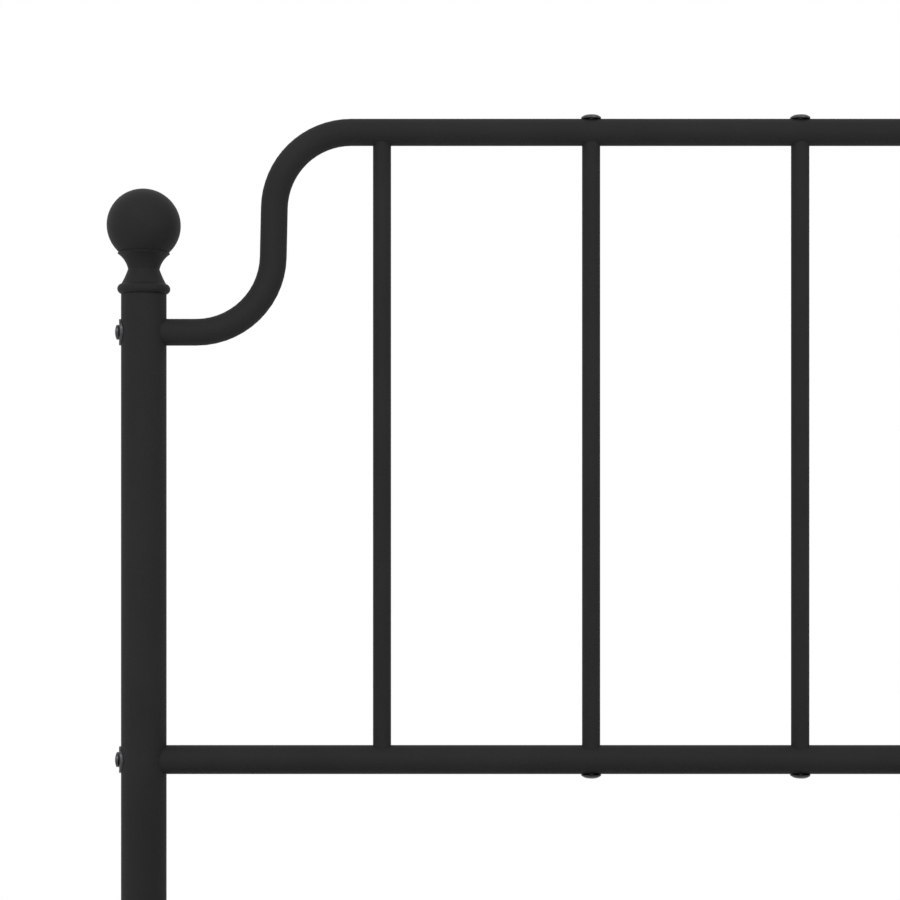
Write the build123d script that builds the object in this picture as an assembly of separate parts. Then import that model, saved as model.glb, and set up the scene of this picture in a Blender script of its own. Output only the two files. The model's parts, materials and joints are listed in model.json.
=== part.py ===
from build123d import *
from math import sqrt
import os

# Single bed frame of round steel tube, bolted together, for a 900 x 2000 mm mattress.
# Millimetres. X runs across the bed, Y along it with the head at +Y, Z up from the floor.
# The origin is on the floor, in the middle of the whole bed.

# Mattress and overall size
mattress_length = 2000.0
mattress_end_gap = 4.0
overall_height = 1000.0

# Tubes: outside diameter and wall
post_d = 38.0
rail_d = 24.2
top_rail_d = 22.7
spindle_d = 15.3
leg_d = 25.0
tube_wall = 1.5
spindle_wall = 1.2

# Headboard
post_spacing = 932.7
spindle_pitch = 176.7
spindle_count = 4
rails_apart = 530.0
neck_above_lower_rail = 361.1
post_above_lower_rail = 393.2
riser_low_reach = 108.0
riser_high_reach = 111.7
bend_r = 65.0

# Finial, heights above the top of the post
bead_r = 4.4
bead_outer_r = 22.1
cone_base_r = 18.7
cone_hollow = 0.35
neck_height = 21.1
neck_r = 13.15
neck_round = 4.0
flare_mid_height = 28.4
flare_mid_r = 16.2
cup_tip_height = 34.2
cup_tip_r = 21.9
cup_lip = 0.7
ball_height = 58.2
ball_r = 30.9
ball_seat_gap = 0.1
plug_length = 28.0
plug_gap = 0.1
stud_length = 45.0
stud_start = 3.0
stud_end_gap = 1.0

# Fasteners
m8_d = 8.0
m6_d = 6.0
m5_d = 5.0
hole_gap = 0.6
hole_overrun = 1.0
thread_gap = 0.1
washer_d = 22.4
washer_thick = 1.6
washer_spring = 2.0
rail_bolt_length = 60.0
rail_bolt_head_d = 12.6
rail_bolt_top_d = 6.6
rail_bolt_head_height = 3.2
rail_bolt_rim = 2.1
m8_key = 5.0
m6_key = 4.0
m5_key = 3.0
socket_share = 0.6
bolt_tip_chamfer = 0.6
spindle_bolt_length = 42.0
spindle_bolt_head_d = 16.9
spindle_bolt_top_d = 11.8
spindle_bolt_head_height = 2.9
spindle_bolt_rim = 1.3
small_bolt_length = 12.0
small_head_d = 10.5
small_head_height = 3.0
small_head_rim = 0.5
slat_head_d = 9.5
slat_head_height = 2.6

# Base
base_rail_z = 254.0
foot_rail_z = 326.0
foot_post_top = 352.0
side_rail_width = 25.0
side_rail_height = 40.0
side_rail_z = 290.0
side_bolt_pitch = 24.0
ledge_width = 22.0
ledge_thick = 2.0
ledge_post_gap = 8.0
ledge_middle_gap = 1.0
joint_gap = 0.4
box_corner_r = 2.5
rivet_nut_d = 8.0
rivet_nut_height = 9.0
rivet_bulge_d = 11.0
rivet_bulge_height = 2.0
slat_top_z = 297.0
slat_count = 12
slat_pitch = 170.0
slat_width = 40.0
slat_thick = 14.0
slat_wall = 1.2
slat_end_gap = 1.0
slat_screw_inset = 10.0
nut_block_length = 22.0
nut_plug_length = 20.0
plug_recess = 1.0
joiner_length = 160.0
joiner_wall = 2.0
joiner_bolt_offsets = (40.0, 65.0)
leg_bolt_offset = 24.0
leg_plate_length = 70.0
leg_plate_thick = 3.0
leg_bottom_z = 37.0

# Feet and caps
glide_flange = 5.0
glide_plug = 20.0
glide_edge_r = 1.5
cap_flange = 3.0
cap_rise = 5.0
insert_flange = 3.0
insert_length = 22.0
foot_running_gap = 0.05
foot_spindle_length = 70.0
foot_spindle_start = 6.0
foot_hex = 13.0
foot_hex_height = 6.0
pad_d = 30.0
pad_top_d = 22.0
pad_height = 12.0
pad_edge_r = 1.5

# Worked out from the driving sizes
post_r = post_d / 2
side_x = post_spacing / 2
washer_face = post_r + washer_thick
top_rail_z = overall_height - spindle_bolt_head_height - top_rail_d / 2
lower_rail_z = top_rail_z - rails_apart
neck_z = lower_rail_z + neck_above_lower_rail
post_top = lower_rail_z + post_above_lower_rail
posts_apart = mattress_length + 2 * mattress_end_gap + post_d
head_reach = ball_r
foot_reach = washer_face + rail_bolt_head_height
head_y = (posts_apart + foot_reach - head_reach) / 2
foot_y = head_y - posts_apart
mid_y = (head_y + foot_y) / 2
side_rail_inner_x = side_x - side_rail_width / 2
side_rail_bottom = side_rail_z - side_rail_height / 2
ledge_top = slat_top_z - slat_thick
slat_half = side_rail_inner_x - slat_end_gap
slat_screw_x = slat_half - slat_screw_inset
rail_core = (
    side_rail_width - 2 * tube_wall - 2 * plug_gap,
    side_rail_height - 2 * tube_wall - 2 * plug_gap,
)
side_bolt_zs = (side_rail_z - side_bolt_pitch / 2, side_rail_z + side_bolt_pitch / 2)
head_rail_zs = (base_rail_z, lower_rail_z, neck_z)
foot_rail_zs = (base_rail_z, foot_rail_z)
spindle_xs = [(i - (spindle_count - 1) / 2) * spindle_pitch for i in range(spindle_count)]
bolted_spindle_xs = spindle_xs[1:-1]
slat_ys = [mid_y + (i - (slat_count - 1) / 2) * slat_pitch for i in range(slat_count)]

os.makedirs("parts", exist_ok=True)


def save(shape, node):
    """Write one sub-part to its own file."""
    export_step(shape, f"parts/{node}.step")


def along(direction, start, radius, length):
    """A solid bar that starts at a point and runs along a direction."""
    circle = Plane(origin=start, z_dir=direction) * Circle(radius)
    return extrude(circle, length)


def tube(direction, start, outer_d, wall, length):
    """A round tube that starts at a point and runs along a direction."""
    return along(direction, start, outer_d / 2, length) - along(
        direction, start, outer_d / 2 - wall, length
    )


def upright(x, y, radius, low=0.0, high=overall_height):
    """A vertical bar, used to shape the tube ends that meet a post or to drill a hole."""
    return along((0, 0, 1), (x, y, low), radius, high - low)


def group(solids):
    """Separate solids that share one node."""
    return Compound(children=list(solids))


def block(low, high):
    """A square-edged block between two opposite corners."""
    size = [h - l for l, h in zip(low, high)]
    middle = [(l + h) / 2 for l, h in zip(low, high)]
    return Pos(*middle) * Box(*size)


def domed_disc(diameter, top_d, height, rim):
    """A disc with a straight rim, rounded over to a flat top, or to a full dome where top_d is 0."""
    radius = diameter / 2
    top_r = top_d / 2
    centre = (top_r**2 + height**2 - radius**2 - rim**2) / (2 * (height - rim))
    ball = Pos(0, 0, centre) * Sphere(sqrt(radius**2 + (rim - centre) ** 2))
    return upright(0, 0, radius, 0, height) & ball


# Posts


def post(x, y, top, rail_zs):
    """A post tube, cross-drilled for its rail bolts and its two side rail bolts."""
    body = tube((0, 0, 1), (x, y, glide_flange), post_d, tube_wall, top - glide_flange)
    hole_r = (m8_d + hole_gap) / 2
    for z in rail_zs:
        body -= along((1, 0, 0), (x - post_d, y, z), hole_r, 2 * post_d)
    for z in side_bolt_zs:
        body -= along((0, 1, 0), (x, y - post_d, z), hole_r, 2 * post_d)
    return body


for side, sign in (("left", -1), ("right", 1)):
    save(post(sign * side_x, head_y, post_top, head_rail_zs), f"head_post_{side}")
    save(post(sign * side_x, foot_y, foot_post_top, foot_rail_zs), f"foot_post_{side}")


def post_plug(low, length):
    """The plain plug of a collar, cap or glide, which fits inside a post tube."""
    radius = post_r - tube_wall - plug_gap
    return Pos(0, 0, low) * Cylinder(radius, length, align=(Align.CENTER, Align.CENTER, Align.MIN))


def glide():
    """A moulded glide: a softly rounded flange on the floor and a plug up inside the post."""
    flange = Cylinder(post_r, glide_flange, align=(Align.CENTER, Align.CENTER, Align.MIN))
    flange = fillet(flange.edges().sort_by(Axis.Z)[0], glide_edge_r)
    return flange + post_plug(glide_flange, glide_plug)


def post_cap():
    """A low domed cap with a plug down inside the foot post, standing at height zero."""
    cap = domed_disc(post_d, 0, cap_flange + cap_rise, cap_flange)
    return cap + post_plug(-glide_plug, glide_plug)


corners = [(x, y) for y in (head_y, foot_y) for x in (-side_x, side_x)]
save(group(Pos(x, y, 0) * glide() for x, y in corners), "post_glides")
save(group(Pos(x, foot_y, foot_post_top) * post_cap() for x in (-side_x, side_x)), "foot_post_caps")


# Finials


def finial_collar():
    """Bead, hollow cone, neck and cup, with a plug below, standing at height zero on the post's top."""
    seat_r = ball_r + ball_seat_gap
    lip_r = cup_tip_r - cup_lip
    lip_height = ball_height - sqrt(seat_r**2 - lip_r**2)
    bead_centre_r = bead_outer_r - bead_r
    cone_base_height = bead_r + sqrt(bead_r**2 - (cone_base_r - bead_centre_r) ** 2)
    cone_middle = (
        (cone_base_r + neck_r) / 2 - cone_hollow,
        (cone_base_height + neck_height) / 2,
    )
    cone_base = (cone_base_r, cone_base_height)
    neck = (neck_r, neck_height)
    cup_tip = (cup_tip_r, cup_tip_height)
    with BuildPart() as collar:
        with BuildSketch(Plane.XZ) as profile:
            with BuildLine():
                Line((0, 0), (bead_centre_r, 0))
                ThreePointArc((bead_centre_r, 0), (bead_outer_r, bead_r), cone_base)
                ThreePointArc(cone_base, cone_middle, neck)
                ThreePointArc(neck, (flare_mid_r, flare_mid_height), cup_tip)
                Polyline(cup_tip, (lip_r, lip_height), (0, lip_height), (0, 0))
            make_face()
            waist = profile.vertices().sort_by_distance(Vector(neck_r, 0, neck_height))[0]
            fillet(waist, neck_round)
        revolve(axis=Axis.Z)
    solid = collar.part + post_plug(-plug_length, plug_length)
    solid -= Pos(0, 0, ball_height) * Sphere(seat_r)
    bore_r = (m8_d + thread_gap) / 2
    return solid - upright(0, 0, bore_r, -plug_length, ball_height)


def finial_ball():
    """A ball with a blind threaded hole in its underside, its centre at zero."""
    bore_r = (m8_d + thread_gap) / 2
    hole_top = stud_start + stud_length + stud_end_gap - ball_height
    return Sphere(ball_r) - upright(0, 0, bore_r, -ball_r, hole_top)


for side, sign in (("left", -1), ("right", 1)):
    save(Pos(sign * side_x, head_y, post_top) * finial_collar(), f"finial_collar_{side}")
    save(Pos(sign * side_x, head_y, post_top + ball_height) * finial_ball(), f"finial_ball_{side}")

save(
    group(
        upright(x, head_y, m8_d / 2, post_top + stud_start, post_top + stud_start + stud_length)
        for x in (-side_x, side_x)
    ),
    "finial_studs",
)


# Cross rails


def cut_for_posts(solid, y):
    """Shape a rail's two ends to the round posts that it meets."""
    for x in (-side_x, side_x):
        solid -= upright(x, y, post_r)
    return solid


def straight_rail(y, z):
    """A straight cross rail between two posts."""
    body = tube((1, 0, 0), (-side_x, y, z), rail_d, tube_wall, post_spacing)
    return cut_for_posts(body, y)


def swan_neck_rail():
    """The top rail: level at each post, up through an S bend that leans in a little, then level across."""
    riser_low_x = side_x - riser_low_reach
    riser_high_x = side_x - riser_high_reach
    path = FilletPolyline(
        (-side_x, head_y, neck_z),
        (-riser_low_x, head_y, neck_z),
        (-riser_high_x, head_y, top_rail_z),
        (riser_high_x, head_y, top_rail_z),
        (riser_low_x, head_y, neck_z),
        (side_x, head_y, neck_z),
        radius=bend_r,
    )
    start = Plane(origin=(-side_x, head_y, neck_z), z_dir=(1, 0, 0))
    outer = start * Circle(top_rail_d / 2)
    inner = start * Circle(top_rail_d / 2 - tube_wall)
    return cut_for_posts(sweep(outer, path) - sweep(inner, path), head_y)


def drill_for_spindles(rail, z):
    """Vertical holes through a rail for the bolts into the inner spindles."""
    for x in bolted_spindle_xs:
        rail -= upright(x, head_y, (m6_d + hole_gap) / 2, z - rail_d, z + rail_d)
    return rail


save(drill_for_spindles(swan_neck_rail(), top_rail_z), "head_top_rail")
save(drill_for_spindles(straight_rail(head_y, lower_rail_z), lower_rail_z), "head_lower_rail")
save(straight_rail(head_y, base_rail_z), "head_base_rail")
save(straight_rail(foot_y, foot_rail_z), "foot_top_rail")
save(straight_rail(foot_y, base_rail_z), "foot_base_rail")


def rail_end_nut(sign, y, z, bore_d):
    """A round threaded plug just inside a rail's end."""
    start = (sign * (side_x - post_r - plug_recess), y, z)
    plug = along((-sign, 0, 0), start, bore_d / 2, nut_plug_length)
    return plug - along((-sign, 0, 0), start, (m8_d + thread_gap) / 2, nut_plug_length)


cross_rail_ends = [(head_y, z) for z in head_rail_zs] + [(foot_y, z) for z in foot_rail_zs]
rail_end_nuts = []
for sign in (-1, 1):
    for y, z in cross_rail_ends:
        outer_d = top_rail_d if z == neck_z else rail_d
        rail_end_nuts.append(rail_end_nut(sign, y, z, outer_d - 2 * tube_wall))
save(group(rail_end_nuts), "rail_end_nuts")


# Spindles


def spindle(x):
    """A vertical spindle, its ends shaped to the round rails above and below."""
    body = tube((0, 0, 1), (x, head_y, lower_rail_z), spindle_d, spindle_wall, rails_apart)
    for z, outer_d in ((lower_rail_z, rail_d), (top_rail_z, top_rail_d)):
        body -= along((1, 0, 0), (x - spindle_d, head_y, z), outer_d / 2, 2 * spindle_d)
    return body


for number, x in enumerate(spindle_xs, start=1):
    save(spindle(x), f"head_spindle_{number}")

spindle_bore_r = spindle_d / 2 - spindle_wall
spindle_nut_ends = (
    lower_rail_z + rail_d / 2 + plug_recess,
    top_rail_z - top_rail_d / 2 - plug_recess - nut_plug_length,
)
spindle_end_nuts = []
for x in bolted_spindle_xs:
    for low in spindle_nut_ends:
        plug = upright(x, head_y, spindle_bore_r, low, low + nut_plug_length)
        plug -= upright(x, head_y, (m6_d + thread_gap) / 2, low, low + nut_plug_length)
        spindle_end_nuts.append(plug)
save(group(spindle_end_nuts), "spindle_end_nuts")


# Bolts and washers, each made with its head's seat at zero and its shank down -Z


def bolt(head_d, top_d, head_height, rim, diameter, length, across):
    """A bolt with a low rounded head, a hex socket and a chamfered tip."""
    head = domed_disc(head_d, top_d, head_height, rim)
    socket = extrude(RegularPolygon(across / 2, 6, major_radius=False), head_height)
    head -= Pos(0, 0, head_height * (1 - socket_share)) * socket
    shank = upright(0, 0, diameter / 2, -length, 0)
    return head + chamfer(shank.edges().sort_by(Axis.Z)[0], bolt_tip_chamfer)


def saddle_washer():
    """A round washer on the +Z side of a post along Y, bent a little less than the post's own curve."""
    reach = 2 * washer_face
    bend_d = 2 * (washer_face + washer_spring)
    sheet = tube((0, 1, 0), (0, -reach / 2, -washer_spring), bend_d, washer_thick, reach)
    disc = upright(0, 0, washer_d / 2, 0, reach) - upright(0, 0, (m8_d + hole_gap) / 2, 0, reach)
    return sheet & disc


def facing(place, outward):
    """A work plane at a place, with its Z axis pointing outward and its Y axis straight up."""
    return Plane(origin=place, x_dir=Vector(0, 0, 1).cross(Vector(*outward)), z_dir=outward)


rail_bolt = Pos(0, 0, washer_face) * bolt(
    rail_bolt_head_d,
    rail_bolt_top_d,
    rail_bolt_head_height,
    rail_bolt_rim,
    m8_d,
    rail_bolt_length,
    m8_key,
)
washer = saddle_washer()
rail_places = [facing((s * side_x, y, z), (s, 0, 0)) for s in (-1, 1) for y, z in cross_rail_ends]
side_places = [
    facing((x, y, z), (0, 1 if y == head_y else -1, 0)) for x, y in corners for z in side_bolt_zs
]
save(group(place * rail_bolt for place in rail_places), "rail_bolts")
save(group(place * rail_bolt for place in side_places), "side_rail_bolts")
save(group(place * washer for place in rail_places + side_places), "saddle_washers")

spindle_bolt = bolt(
    spindle_bolt_head_d,
    spindle_bolt_top_d,
    spindle_bolt_head_height,
    spindle_bolt_rim,
    m6_d,
    spindle_bolt_length,
    m6_key,
)
save(
    group(
        Plane(origin=(x, head_y, z), z_dir=(0, 0, up)) * spindle_bolt
        for x in bolted_spindle_xs
        for z, up in ((top_rail_z + top_rail_d / 2, 1), (lower_rail_z - rail_d / 2, -1))
    ),
    "spindle_bolts",
)


# Side rails


def box_bar(x, start_y, end_y, width, height):
    """A bar of rounded rectangular section along Y, at side rail height."""
    section = Plane(origin=(x, start_y, side_rail_z), x_dir=(1, 0, 0), z_dir=(0, 1, 0))
    return extrude(section * RectangleRounded(width, height, box_corner_r), end_y - start_y)


def box_tube(x, start_y, end_y, width, height, wall):
    """A rectangular tube along Y, at side rail height."""
    outer = box_bar(x, start_y, end_y, width, height)
    return outer - box_bar(x, start_y, end_y, width - 2 * wall, height - 2 * wall)


def half_rail(x, end_y):
    """Half a side rail, from the post at end_y to mid-bed, drilled for its joiner and leg."""
    towards = 1 if end_y == head_y else -1
    ends = sorted((mid_y + towards * joint_gap / 2, end_y))
    rail = box_tube(x, ends[0], ends[1], side_rail_width, side_rail_height, tube_wall)
    rail -= upright(x, end_y, post_r)
    outward = 1 if x > 0 else -1
    hole_r = (m6_d + hole_gap) / 2
    for offset in joiner_bolt_offsets:
        start = (x, mid_y + towards * offset, side_rail_z)
        rail -= along((outward, 0, 0), start, hole_r, side_rail_width)
    rail -= upright(x, mid_y + towards * leg_bolt_offset, hole_r, leg_bottom_z, side_rail_z)
    return rail


def half_ledge(x, end_y):
    """The angle welded inside half a side rail: a flange under the slats and a leg down the rail."""
    inward = -1 if x > 0 else 1
    towards = 1 if end_y == head_y else -1
    face = x + inward * side_rail_width / 2
    y_ends = sorted((mid_y + towards * ledge_middle_gap, end_y - towards * (post_r + ledge_post_gap)))
    flange_xs = sorted((face, face + inward * ledge_width))
    leg_xs = sorted((face, face + inward * ledge_thick))
    under = ledge_top - ledge_thick
    ledge = block((flange_xs[0], y_ends[0], under), (flange_xs[1], y_ends[1], ledge_top))
    ledge += block((leg_xs[0], y_ends[0], side_rail_bottom), (leg_xs[1], y_ends[1], under))
    for y in slat_ys:
        if y_ends[0] < y < y_ends[1]:
            hole_r = (m5_d + hole_gap) / 2
            ledge -= upright(-inward * slat_screw_x, y, hole_r, side_rail_bottom, slat_top_z)
    return ledge


def end_nut_block(x, end_y):
    """The threaded block fixed inside a side rail's end."""
    inward = -1 if end_y == head_y else 1
    near_y = end_y + inward * (post_r + plug_recess)
    start_y, stop_y = sorted((near_y, near_y + inward * nut_block_length))
    piece = box_bar(x, start_y, stop_y, *rail_core)
    for z in side_bolt_zs:
        piece -= along((0, 1, 0), (x, start_y, z), (m8_d + thread_gap) / 2, nut_block_length)
    return piece


small_bolt = bolt(small_head_d, 0, small_head_height, small_head_rim, m6_d, small_bolt_length, m6_key)
joiner_places = []
leg_bolt_places = []

for side, x, outward in (("left", -side_x, -1), ("right", side_x, 1)):
    for end, end_y in (("head", head_y), ("foot", foot_y)):
        save(half_rail(x, end_y), f"side_rail_{side}_{end}")
        save(half_ledge(x, end_y), f"slat_ledge_{side}_{end}")
    joiner = box_tube(x, mid_y - joiner_length / 2, mid_y + joiner_length / 2, *rail_core, joiner_wall)
    face_x = x + outward * side_rail_width / 2
    for towards in (-1, 1):
        for offset in joiner_bolt_offsets:
            y = mid_y + towards * offset
            joiner -= along((outward, 0, 0), (x, y, side_rail_z), (m6_d + thread_gap) / 2, side_rail_width)
            joiner_places.append(facing((face_x, y, side_rail_z), (outward, 0, 0)))
        y = mid_y + towards * leg_bolt_offset
        joiner -= upright(x, y, (m6_d + thread_gap) / 2, leg_bottom_z, side_rail_z)
        leg_seat = side_rail_bottom - leg_plate_thick
        leg_bolt_places.append(Plane(origin=(x, y, leg_seat), z_dir=(0, 0, -1)))
    save(joiner, f"rail_joiner_{side}")

save(group(end_nut_block(x, y) for x, y in corners), "side_rail_end_nuts")
save(group(place * small_bolt for place in joiner_places), "joiner_bolts")
save(group(place * small_bolt for place in leg_bolt_places), "mid_leg_bolts")


# Slats


def slat(y):
    """A flat-sided oval steel tube across the bed, pierced underneath for its two rivet nuts."""
    section = Plane(origin=(-slat_half, y, slat_top_z - slat_thick / 2), x_dir=(0, 1, 0), z_dir=(1, 0, 0))
    inner = SlotOverall(slat_width - 2 * slat_wall, slat_thick - 2 * slat_wall)
    body = extrude(section * (SlotOverall(slat_width, slat_thick) - inner), 2 * slat_half)
    for x in (-slat_screw_x, slat_screw_x):
        body -= upright(x, y, rivet_nut_d / 2, side_rail_bottom, slat_top_z - slat_thick / 2)
    return body


def rivet_nut():
    """A threaded rivet nut standing in a slat's lower wall, with its crimped bulge above the wall."""
    nut = upright(0, 0, rivet_nut_d / 2, 0, rivet_nut_height)
    nut += upright(0, 0, rivet_bulge_d / 2, slat_wall, slat_wall + rivet_bulge_height)
    return nut - upright(0, 0, (m5_d + thread_gap) / 2, 0, rivet_nut_height)


for number, y in enumerate(slat_ys, start=1):
    save(slat(y), f"slat_{number}")

slat_screw = bolt(slat_head_d, 0, slat_head_height, small_head_rim, m5_d, small_bolt_length, m5_key)
slat_ends = [(x, y) for y in slat_ys for x in (-slat_screw_x, slat_screw_x)]
save(group(Pos(x, y, ledge_top) * rivet_nut() for x, y in slat_ends), "slat_rivet_nuts")
save(
    group(
        Plane(origin=(x, y, ledge_top - ledge_thick), z_dir=(0, 0, -1)) * slat_screw for x, y in slat_ends
    ),
    "slat_screws",
)


# Mid legs and their levelling feet


def mid_leg(x):
    """A round leg with a welded plate on top, drilled for two bolts."""
    plate_under = side_rail_bottom - leg_plate_thick
    leg = tube((0, 0, 1), (x, mid_y, leg_bottom_z), leg_d, tube_wall, plate_under - leg_bottom_z)
    half_width = side_rail_width / 2
    half_length = leg_plate_length / 2
    leg += block(
        (x - half_width, mid_y - half_length, plate_under),
        (x + half_width, mid_y + half_length, side_rail_bottom),
    )
    for towards in (-1, 1):
        y = mid_y + towards * leg_bolt_offset
        hole_low, hole_high = plate_under - hole_overrun, side_rail_bottom + hole_overrun
        leg -= upright(x, y, (m6_d + hole_gap) / 2, hole_low, hole_high)
    return leg


def leg_insert(x):
    """The threaded insert in the open end of a mid leg."""
    bore_r = m8_d / 2 + foot_running_gap
    insert = upright(x, mid_y, leg_d / 2, leg_bottom_z - insert_flange, leg_bottom_z)
    insert += upright(
        x, mid_y, leg_d / 2 - tube_wall - plug_gap, leg_bottom_z, leg_bottom_z + insert_length
    )
    return insert - upright(x, mid_y, bore_r, 0, leg_bottom_z + insert_length)


def foot_spindle(x):
    """The threaded spindle of a levelling foot, with a hexagon for a spanner above the pad."""
    spindle_top = foot_spindle_start + foot_spindle_length
    hexagon = Plane(origin=(x, mid_y, pad_height)) * RegularPolygon(foot_hex / 2, 6, major_radius=False)
    return upright(x, mid_y, m8_d / 2, foot_spindle_start, spindle_top) + extrude(hexagon, foot_hex_height)


def foot_pad(x):
    """The moulded pad of a levelling foot, tapered and rounded, moulded round the spindle's lower end."""
    pad = Pos(x, mid_y, 0) * Cone(
        pad_d / 2, pad_top_d / 2, pad_height, align=(Align.CENTER, Align.CENTER, Align.MIN)
    )
    pad = fillet(pad.edges(), pad_edge_r)
    return pad - upright(x, mid_y, m8_d / 2, foot_spindle_start, pad_height)


for side, x in (("left", -side_x), ("right", side_x)):
    save(mid_leg(x), f"mid_leg_{side}")
    save(foot_spindle(x), f"foot_spindle_{side}")
    save(foot_pad(x), f"foot_pad_{side}")
save(group(leg_insert(x) for x in (-side_x, side_x)), "leg_inserts")
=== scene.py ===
import json
import math

import bmesh
import bpy
from mathutils import Matrix, Vector


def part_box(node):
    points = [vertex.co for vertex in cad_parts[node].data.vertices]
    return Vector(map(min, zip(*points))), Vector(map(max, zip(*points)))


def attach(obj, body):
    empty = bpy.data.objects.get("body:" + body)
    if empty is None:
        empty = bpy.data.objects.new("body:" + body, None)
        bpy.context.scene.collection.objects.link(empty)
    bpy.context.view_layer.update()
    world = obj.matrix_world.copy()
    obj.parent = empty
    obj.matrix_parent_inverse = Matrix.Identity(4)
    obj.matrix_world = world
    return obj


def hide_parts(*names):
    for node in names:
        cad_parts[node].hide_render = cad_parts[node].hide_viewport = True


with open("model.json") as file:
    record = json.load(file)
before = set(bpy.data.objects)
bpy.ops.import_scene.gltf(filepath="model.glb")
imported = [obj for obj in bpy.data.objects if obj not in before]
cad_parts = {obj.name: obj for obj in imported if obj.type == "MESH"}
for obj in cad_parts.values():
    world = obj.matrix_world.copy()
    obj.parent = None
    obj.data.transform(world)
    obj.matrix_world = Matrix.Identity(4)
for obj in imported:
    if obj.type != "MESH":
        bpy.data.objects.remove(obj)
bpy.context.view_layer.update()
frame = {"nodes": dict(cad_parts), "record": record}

MM = 0.001


def middle(node):
    """The centre of a CAD node's box."""
    low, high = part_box(node)
    return (low + high) / 2


# Camera: level, square to the headboard, opposite the gap between its left-hand spindles

CAMERA_DISTANCE = 1479 * MM
CAMERA_FROM_POST = 258.75 * MM
CAMERA_ABOVE_LOWER_RAIL = 261.6 * MM
LENS_MM = 70
SENSOR_MM = 36

left_post = middle("head_post_left")
lower_rail = middle("head_lower_rail")
camera = bpy.data.objects.new("camera", bpy.data.cameras.new("camera"))
bpy.context.scene.collection.objects.link(camera)
camera.data.lens = LENS_MM
camera.data.sensor_width = SENSOR_MM
camera.location = (
    left_post.x + CAMERA_FROM_POST,
    left_post.y - CAMERA_DISTANCE,
    lower_rail.z + CAMERA_ABOVE_LOWER_RAIL,
)
camera.rotation_euler = (math.radians(90), 0, 0)
bpy.context.scene.camera = camera
bpy.context.scene.view_settings.view_transform = "Standard"


# Materials

# A noise pattern stays mostly between these two levels.
NOISE_LOW = 0.3
NOISE_HIGH = 0.7


def linear(hex_colour):
    """An sRGB hex colour as linear red, green, blue and alpha."""
    channels = [int(hex_colour[i : i + 2], 16) / 255 for i in (1, 3, 5)]
    return [c / 12.92 if c <= 0.04045 else ((c + 0.055) / 1.055) ** 2.4 for c in channels] + [1.0]


def add(tree, kind, links=None, **settings):
    """Adds a shader node. links maps an input to a value or to another node's output."""
    made = tree.nodes.new(kind)
    for name, value in settings.items():
        setattr(made, name, value)
    for name, value in (links or {}).items():
        if isinstance(value, bpy.types.NodeSocket):
            tree.links.new(value, made.inputs[name])
        else:
            made.inputs[name].default_value = value
    return made


def empty_tree(owner):
    """The node tree of a material or world, cleared."""
    owner.use_nodes = True
    owner.node_tree.nodes.clear()
    return owner.node_tree


PEEL_WAVE = 2.0 * MM
PEEL_DEPTH = 0.3 * MM
POWDER_GRAIN = 0.5 * MM
POWDER_DEPTH = 0.12 * MM
COAT_CLOUD = 60 * MM


def powder_coat():
    """Matte polyester powder coat, baked on steel tube: charcoal black in faint clouds of uneven
    tone, with the shallow orange peel of melted powder, and a fine grain that spreads every
    highlight; the grain's crests are painted lighter, a painted highlight. The grain is drawn at
    0.5 mm, several times the real size, and both reliefs several times deeper than real, so that
    they show."""
    material = bpy.data.materials.new("powder_coat_matte_black")
    tree = empty_tree(material)
    place = add(tree, "ShaderNodeTexCoord").outputs["Object"]
    peel = add(
        tree, "ShaderNodeTexNoise", {"Vector": place, "Scale": 1 / PEEL_WAVE, "Detail": 1.0}
    )
    grain = add(
        tree, "ShaderNodeTexNoise", {"Vector": place, "Scale": 1 / POWDER_GRAIN, "Detail": 1.0}
    )
    cloud = add(
        tree, "ShaderNodeTexNoise", {"Vector": place, "Scale": 1 / COAT_CLOUD, "Detail": 3.0}
    )
    # Painted highlight: the tone rises with the grain noise that also raises the bump, so the
    # grain's crests are painted lighter; the broad cloud is the coat's own uneven tone.
    cloud_and_crest_highlight = add(
        tree,
        "ShaderNodeMix",
        {"Factor": 0.5, "A": cloud.outputs["Fac"], "B": grain.outputs["Fac"]},
        data_type="FLOAT",
    )
    tone = add(
        tree,
        "ShaderNodeMix",
        {"Factor": cloud_and_crest_highlight.outputs["Result"], "A": linear("#1e1e1e"), "B": linear("#2f2f2f")},
        data_type="RGBA",
    )
    sheen = add(
        tree,
        "ShaderNodeMapRange",
        {
            "Value": grain.outputs["Fac"],
            "From Min": NOISE_LOW,
            "From Max": NOISE_HIGH,
            "To Min": 0.52,
            "To Max": 0.64,
        },
    )
    waves = add(
        tree,
        "ShaderNodeBump",
        {"Height": peel.outputs["Fac"], "Strength": 0.5, "Distance": PEEL_DEPTH},
    )
    surface = add(
        tree,
        "ShaderNodeBump",
        {
            "Height": grain.outputs["Fac"],
            "Strength": 0.5,
            "Distance": POWDER_DEPTH,
            "Normal": waves.outputs["Normal"],
        },
    )
    shader = add(
        tree,
        "ShaderNodeBsdfPrincipled",
        {
            "Base Color": tone.outputs["Result"],
            "Roughness": sheen.outputs["Result"],
            "Specular IOR Level": 0.06,
            "Normal": surface.outputs["Normal"],
        },
    )
    add(tree, "ShaderNodeOutputMaterial", {"Surface": shader.outputs["BSDF"]})
    return material


MOULD_TEXTURE = 0.5 * MM
MOULD_DEPTH = 0.03 * MM
PLASTIC_FLOW = 25 * MM


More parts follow.
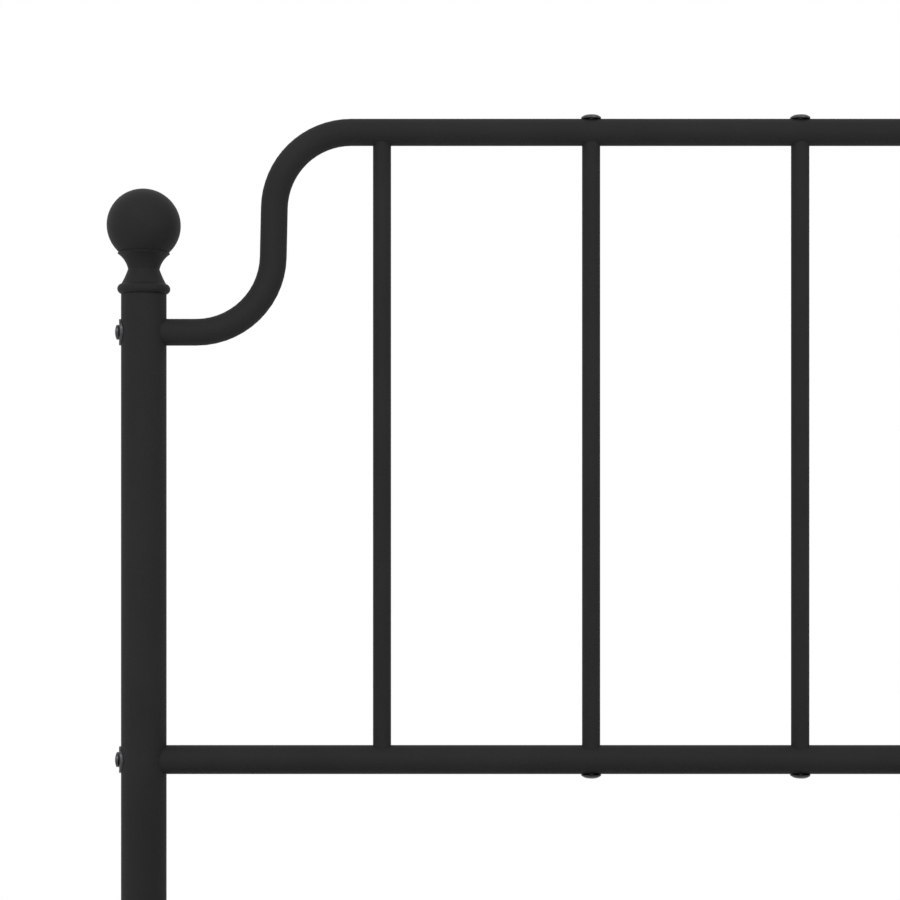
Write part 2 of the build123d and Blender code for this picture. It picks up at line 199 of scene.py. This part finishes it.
def finial_plastic():
    """Moulded polypropylene, coloured to match the coat: a satin skin, smoother than the powder,
    with the fine even texture of an eroded mould and faint clouds where the plastic flowed."""
    material = bpy.data.materials.new("polypropylene_satin_black")
    tree = empty_tree(material)
    place = add(tree, "ShaderNodeTexCoord").outputs["Object"]
    skin = add(
        tree, "ShaderNodeTexNoise", {"Vector": place, "Scale": 1 / MOULD_TEXTURE, "Detail": 2.0}
    )
    flow = add(
        tree, "ShaderNodeTexNoise", {"Vector": place, "Scale": 1 / PLASTIC_FLOW, "Detail": 2.0}
    )
    tone = add(
        tree,
        "ShaderNodeMix",
        {"Factor": flow.outputs["Fac"], "A": linear("#242424"), "B": linear("#282828")},
        data_type="RGBA",
    )
    sheen = add(
        tree,
        "ShaderNodeMapRange",
        {
            "Value": flow.outputs["Fac"],
            "From Min": NOISE_LOW,
            "From Max": NOISE_HIGH,
            "To Min": 0.44,
            "To Max": 0.5,
        },
    )
    surface = add(
        tree,
        "ShaderNodeBump",
        {"Height": skin.outputs["Fac"], "Strength": 0.2, "Distance": MOULD_DEPTH},
    )
    shader = add(
        tree,
        "ShaderNodeBsdfPrincipled",
        {
            "Base Color": tone.outputs["Result"],
            "Roughness": sheen.outputs["Result"],
            "Specular IOR Level": 0.06,
            "Normal": surface.outputs["Normal"],
        },
    )
    add(tree, "ShaderNodeOutputMaterial", {"Surface": shader.outputs["BSDF"]})
    return material


ZINC_FILM = 3 * MM
ZINC_GRAIN = 0.4 * MM
ZINC_DEPTH = 0.02 * MM


def black_zinc():
    """Black zinc plate on steel screws: a dark metal, semi-gloss, with a slightly uneven film."""
    material = bpy.data.materials.new("black_zinc_plated_steel")
    tree = empty_tree(material)
    place = add(tree, "ShaderNodeTexCoord").outputs["Object"]
    film = add(
        tree, "ShaderNodeTexNoise", {"Vector": place, "Scale": 1 / ZINC_FILM, "Detail": 3.0}
    )
    grain = add(
        tree, "ShaderNodeTexNoise", {"Vector": place, "Scale": 1 / ZINC_GRAIN, "Detail": 2.0}
    )
    tone = add(
        tree,
        "ShaderNodeMix",
        {"Factor": film.outputs["Fac"], "A": linear("#3a3a3c"), "B": linear("#5a5a5c")},
        data_type="RGBA",
    )
    sheen = add(
        tree,
        "ShaderNodeMapRange",
        {
            "Value": film.outputs["Fac"],
            "From Min": NOISE_LOW,
            "From Max": NOISE_HIGH,
            "To Min": 0.28,
            "To Max": 0.38,
        },
    )
    surface = add(
        tree,
        "ShaderNodeBump",
        {"Height": grain.outputs["Fac"], "Strength": 0.15, "Distance": ZINC_DEPTH},
    )
    shader = add(
        tree,
        "ShaderNodeBsdfPrincipled",
        {
            "Base Color": tone.outputs["Result"],
            "Metallic": 1.0,
            "Roughness": sheen.outputs["Result"],
            "Normal": surface.outputs["Normal"],
        },
    )
    add(tree, "ShaderNodeOutputMaterial", {"Surface": shader.outputs["BSDF"]})
    return material


PASSIVATION = 2 * MM
BRIGHT_GRAIN = 0.3 * MM
BRIGHT_DEPTH = 0.01 * MM


def bright_zinc():
    """Bright zinc plate on threaded parts: pale grey metal, faintly mottled by its passivation."""
    material = bpy.data.materials.new("bright_zinc_plated_steel")
    tree = empty_tree(material)
    place = add(tree, "ShaderNodeTexCoord").outputs["Object"]
    film = add(
        tree, "ShaderNodeTexNoise", {"Vector": place, "Scale": 1 / PASSIVATION, "Detail": 3.0}
    )
    grain = add(
        tree, "ShaderNodeTexNoise", {"Vector": place, "Scale": 1 / BRIGHT_GRAIN, "Detail": 1.0}
    )
    tone = add(
        tree,
        "ShaderNodeMix",
        {"Factor": film.outputs["Fac"], "A": linear("#a4a5a2"), "B": linear("#d0d0cc")},
        data_type="RGBA",
    )
    sheen = add(
        tree,
        "ShaderNodeMapRange",
        {
            "Value": film.outputs["Fac"],
            "From Min": NOISE_LOW,
            "From Max": NOISE_HIGH,
            "To Min": 0.28,
            "To Max": 0.38,
        },
    )
    surface = add(
        tree,
        "ShaderNodeBump",
        {"Height": grain.outputs["Fac"], "Strength": 0.1, "Distance": BRIGHT_DEPTH},
    )
    shader = add(
        tree,
        "ShaderNodeBsdfPrincipled",
        {
            "Base Color": tone.outputs["Result"],
            "Metallic": 1.0,
            "Roughness": sheen.outputs["Result"],
            "Normal": surface.outputs["Normal"],
        },
    )
    add(tree, "ShaderNodeOutputMaterial", {"Surface": shader.outputs["BSDF"]})
    return material


FOOT_GRAIN = 0.8 * MM
FOOT_DEPTH = 0.04 * MM


def foot_plastic():
    """Moulded black polyethylene of glides, caps and pads: waxy, a little bluer than the coat,
    with a soft moulded grain."""
    material = bpy.data.materials.new("polyethylene_moulded_black")
    tree = empty_tree(material)
    place = add(tree, "ShaderNodeTexCoord").outputs["Object"]
    grain = add(
        tree, "ShaderNodeTexNoise", {"Vector": place, "Scale": 1 / FOOT_GRAIN, "Detail": 3.0}
    )
    tone = add(
        tree,
        "ShaderNodeMix",
        {"Factor": grain.outputs["Fac"], "A": linear("#1f1f20"), "B": linear("#272728")},
        data_type="RGBA",
    )
    sheen = add(
        tree,
        "ShaderNodeMapRange",
        {
            "Value": grain.outputs["Fac"],
            "From Min": NOISE_LOW,
            "From Max": NOISE_HIGH,
            "To Min": 0.5,
            "To Max": 0.6,
        },
    )
    surface = add(
        tree,
        "ShaderNodeBump",
        {"Height": grain.outputs["Fac"], "Strength": 0.3, "Distance": FOOT_DEPTH},
    )
    shader = add(
        tree,
        "ShaderNodeBsdfPrincipled",
        {
            "Base Color": tone.outputs["Result"],
            "Roughness": sheen.outputs["Result"],
            "Specular IOR Level": 0.3,
            "Normal": surface.outputs["Normal"],
        },
    )
    add(tree, "ShaderNodeOutputMaterial", {"Surface": shader.outputs["BSDF"]})
    return material


coat = powder_coat()
finish_of = {
    "powder_coated_tube": coat,
    "powder_coated_slat": coat,
    "moulded_finial": finial_plastic(),
    "black_zinc_fastener": black_zinc(),
    "moulded_foot_plastic": foot_plastic(),
    "plated_insert": bright_zinc(),
}
slot_of = {part["node"]: part["material_slot"] for part in frame["record"]["subparts"]}
for name, node in frame["nodes"].items():
    node.data.materials.clear()
    node.data.materials.append(finish_of[slot_of[name]])


# Threaded spindles and welds

SMOOTH_BELOW = math.radians(35)
SAME_POINT = 0.001 * MM


def finished(name, shape, body, slot):
    """The object made from a finished shape, riding on its body in its slot's material."""
    bmesh.ops.remove_doubles(shape, verts=shape.verts, dist=SAME_POINT)
    bmesh.ops.recalc_face_normals(shape, faces=shape.faces)
    mesh = bpy.data.meshes.new(name)
    shape.to_mesh(mesh)
    shape.free()
    mesh.shade_smooth()
    mesh.set_sharp_from_angle(angle=SMOOTH_BELOW)
    mesh.materials.append(finish_of[slot])
    made = bpy.data.objects.new(name, mesh)
    bpy.context.scene.collection.objects.link(made)
    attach(made, body)
    return made


THREAD_PITCH = 1.25 * MM
THREAD_CREST_R = 4.0 * MM
THREAD_ROOT_R = 3.33 * MM
# Where the root ends and the crest starts and ends, as shares of a turn's height
ROOT_END = 0.25
CREST_START = 0.5625
CREST_END = 0.6875
STEPS_A_TURN = 24
# Turns made below the spindle's end, and beyond its length in all, before it is cut to length
TURNS_BELOW = 1.5
SPARE_TURNS = 2
HEX_CORNERS = 6
HEX_LOW = 12 * MM
HEX_HIGH = 18 * MM
HEX_CHAMFER = 0.6 * MM


def threaded_spindle(side):
    """A levelling foot's M8 spindle with its rolled thread, and the hexagon that turns it."""
    node = f"foot_spindle_{side}"
    low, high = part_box(node)
    shape = bmesh.new()
    profile = [
        (THREAD_ROOT_R, 0),
        (THREAD_ROOT_R, ROOT_END),
        (THREAD_CREST_R, CREST_START),
        (THREAD_CREST_R, CREST_END),
        (THREAD_ROOT_R, 1),
    ]
    first = low.z - TURNS_BELOW * THREAD_PITCH
    points = [shape.verts.new((r, 0, first + share * THREAD_PITCH)) for r, share in profile]
    lines = [shape.edges.new(pair) for pair in zip(points, points[1:])]
    turns = math.ceil((high.z - low.z) / THREAD_PITCH) + SPARE_TURNS
    bmesh.ops.spin(
        shape,
        geom=points + lines,
        axis=(0, 0, 1),
        dvec=(0, 0, THREAD_PITCH / STEPS_A_TURN),
        angle=turns * math.tau,
        steps=turns * STEPS_A_TURN,
    )
    bmesh.ops.remove_doubles(shape, verts=shape.verts, dist=SAME_POINT)
    for height, up in ((low.z, -1), (high.z, 1)):
        bmesh.ops.bisect_plane(
            shape,
            geom=shape.verts[:] + shape.edges[:] + shape.faces[:],
            plane_co=(0, 0, height),
            plane_no=(0, 0, up),
            clear_outer=True,
        )
    ends = [edge for edge in shape.edges if edge.is_boundary]
    bmesh.ops.edgeloop_fill(shape, edges=ends)
    corner_r = (high.x - low.x) / 2
    corners = bmesh.ops.create_cone(
        shape,
        cap_ends=True,
        segments=HEX_CORNERS,
        radius1=corner_r,
        radius2=corner_r,
        depth=HEX_HIGH - HEX_LOW,
        matrix=Matrix.Translation((0, 0, (HEX_LOW + HEX_HIGH) / 2))
        @ Matrix.Rotation(math.tau / HEX_CORNERS / 2, 4, "Z"),
    )["verts"]
    rims = [
        edge
        for edge in shape.edges
        if edge.verts[0] in corners
        and edge.verts[1] in corners
        and abs(edge.verts[0].co.z - edge.verts[1].co.z) < SAME_POINT
    ]
    bmesh.ops.bevel(
        shape,
        geom=rims,
        offset=HEX_CHAMFER,
        affect="EDGES",
        segments=2,
        profile=0.5,
        material=-1,
    )
    axis = (low + high) / 2
    bmesh.ops.translate(shape, vec=(axis.x, axis.y, 0), verts=shape.verts)
    made = finished(f"threaded_spindle_{side}", shape, f"{side}_foot", "plated_insert")
    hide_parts(node)


for side in ("left", "right"):
    threaded_spindle(side)

BEAD_R = 1.8 * MM
BEAD_SIDES = 8
BEAD_RIPPLE = 1.4 * MM
# A bead's width between two ripples and at its ends, as shares of its full width
BEAD_PINCH = 0.86
BEAD_END = 0.5


def bead(shape, start, step, ripples):
    """A rippled weld bead, drawn on from a starting disc by one step for each half ripple."""
    disc = bmesh.ops.create_circle(
        shape, cap_ends=True, segments=BEAD_SIDES, radius=BEAD_R * BEAD_END, matrix=start
    )["verts"]
    face = disc[0].link_faces[0]
    centre = start.translation.copy()
    widths = [1.0, BEAD_PINCH] * ripples
    widths[-1] = BEAD_END
    for before, width in zip([BEAD_END] + widths, widths):
        region = [face, *face.edges, *face.verts]
        grown = bmesh.ops.extrude_face_region(shape, geom=region)["geom"]
        face = next(item for item in grown if isinstance(item, bmesh.types.BMFace))
        bmesh.ops.transform(shape, matrix=step, verts=face.verts)
        centre = step @ centre
        bmesh.ops.scale(
            shape,
            vec=Vector((1, 1, 1)) * (width / before),
            space=Matrix.Translation(-centre),
            verts=face.verts,
        )


LEDGE_WELD_RIPPLES = 14
SLAT_COUNT = 12


def ledge_welds():
    """Short beads between the slats, where the ledges meet the side rails' inner faces."""
    shape = bmesh.new()
    slats = sorted(middle(f"slat_{number}").y for number in range(1, SLAT_COUNT + 1))
    gaps = [(near + far) / 2 for near, far in zip(slats, slats[1:])]
    # The side rails' halves meet in the middle gap.
    del gaps[len(gaps) // 2]
    step = Matrix.Translation((0, BEAD_RIPPLE / 2, 0))
    for side in ("left", "right"):
        low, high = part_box(f"slat_ledge_{side}_head")
        face_x = low.x if side == "left" else high.x
        for y in gaps:
            first = (face_x, y - LEDGE_WELD_RIPPLES * BEAD_RIPPLE / 2, high.z)
            start = Matrix.Translation(first) @ Matrix.Rotation(math.radians(90), 4, "X")
            bead(shape, start, step, LEDGE_WELD_RIPPLES)
    finished("ledge_welds", shape, "frame", "powder_coated_tube")


LEG_R = 12.5 * MM
LEG_PLATE_THICK = 3 * MM
LEG_WELD_SPREAD = math.radians(90)


def leg_welds():
    """Beads before and behind each middle leg, where its tube meets its plate."""
    shape = bmesh.new()
    ripples = round(LEG_R * LEG_WELD_SPREAD / BEAD_RIPPLE)
    for side in ("left", "right"):
        low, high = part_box(f"mid_leg_{side}")
        leg = (low + high) / 2
        axis = Matrix.Translation((leg.x, leg.y, high.z - LEG_PLATE_THICK))
        turn = Matrix.Rotation(LEG_WELD_SPREAD / ripples / 2, 4, "Z")
        step = axis @ turn @ axis.inverted()
        for facing in (math.radians(90), math.radians(-90)):
            start = (
                axis
                @ Matrix.Rotation(facing - LEG_WELD_SPREAD / 2, 4, "Z")
                @ Matrix.Translation((LEG_R, 0, 0))
                @ Matrix.Rotation(math.radians(90), 4, "X")
            )
            bead(shape, start, step, ripples)
    finished("leg_welds", shape, "frame", "powder_coated_tube")


ledge_welds()
leg_welds()


# Stage and light

FLOOR_RADIUS = 2.3
FLOOR_FADE_FROM = 1.7
FLOOR_SIDES = 96


def floor_paint():
    """Pale matte paint that fades away towards the floor's rim."""
    material = bpy.data.materials.new("pale_floor")
    tree = empty_tree(material)
    place = add(tree, "ShaderNodeTexCoord").outputs["Object"]
    across = add(tree, "ShaderNodeVectorMath", {0: place}, operation="LENGTH")
    fade = add(
        tree,
        "ShaderNodeMapRange",
        {
            "Value": across.outputs["Value"],
            "From Min": FLOOR_FADE_FROM,
            "From Max": FLOOR_RADIUS,
        },
        interpolation_type="SMOOTHSTEP",
    )
    paint = add(tree, "ShaderNodeBsdfDiffuse", {"Color": linear("#f4f4f4")})
    clear = add(tree, "ShaderNodeBsdfTransparent")
    mix = add(
        tree,
        "ShaderNodeMixShader",
        {"Fac": fade.outputs["Result"], 1: paint.outputs["BSDF"], 2: clear.outputs["BSDF"]},
    )
    add(tree, "ShaderNodeOutputMaterial", {"Surface": mix.outputs["Shader"]})
    return material


def floor():
    """A wide round floor."""
    shape = bmesh.new()
    bmesh.ops.create_circle(shape, cap_ends=True, segments=FLOOR_SIDES, radius=FLOOR_RADIUS)
    mesh = bpy.data.meshes.new("floor")
    shape.to_mesh(mesh)
    shape.free()
    mesh.materials.append(floor_paint())
    made = bpy.data.objects.new("floor", mesh)
    bpy.context.scene.collection.objects.link(made)


BRIGHTEST_SIDE = (-0.14, -0.86, 0.49)
SURROUND_DIM = 0.58
SURROUND_BRIGHT = 1.15


def studio_world():
    """A white surround, which lights softly from the front and above."""
    world = bpy.data.worlds.new("studio")
    tree = empty_tree(world)
    direction = add(tree, "ShaderNodeTexCoord").outputs["Generated"]
    facing = add(
        tree, "ShaderNodeVectorMath", {0: direction, 1: BRIGHTEST_SIDE}, operation="DOT_PRODUCT"
    )
    level = add(
        tree,
        "ShaderNodeMapRange",
        {
            "Value": facing.outputs["Value"],
            "From Min": -1.0,
            "From Max": 1.0,
            "To Min": SURROUND_DIM,
            "To Max": SURROUND_BRIGHT,
        },
    )
    light = add(
        tree,
        "ShaderNodeBackground",
        {"Color": linear("#ffffff"), "Strength": level.outputs["Result"]},
    )
    white = add(tree, "ShaderNodeBackground", {"Color": linear("#ffffff"), "Strength": 1.0})
    seen = add(tree, "ShaderNodeLightPath").outputs["Is Camera Ray"]
    mix = add(
        tree,
        "ShaderNodeMixShader",
        {"Fac": seen, 1: light.outputs["Background"], 2: white.outputs["Background"]},
    )
    add(tree, "ShaderNodeOutputWorld", {"Surface": mix.outputs["Shader"]})
    bpy.context.scene.world = world


LIT_POINT = Vector((0, 0, 0.4))
KEY_LIGHT = {"place": (-1.4, -2.0, 3.2), "size": 1.4, "watts": 18}
FILL_LIGHT = {"place": (1.8, -2.6, 1.4), "size": 1.6, "watts": 14}


def softbox(name, place, size, watts):
    """A square area light aimed at the middle of the bed."""
    light = bpy.data.lights.new(name, "AREA")
    light.size = size
    light.energy = watts
    lamp = bpy.data.objects.new(name, light)
    lamp.location = place
    lamp.rotation_euler = (LIT_POINT - Vector(place)).to_track_quat("-Z", "Y").to_euler()
    bpy.context.scene.collection.objects.link(lamp)


floor()
studio_world()
softbox("key_light", **KEY_LIGHT)
softbox("fill_light", **FILL_LIGHT)
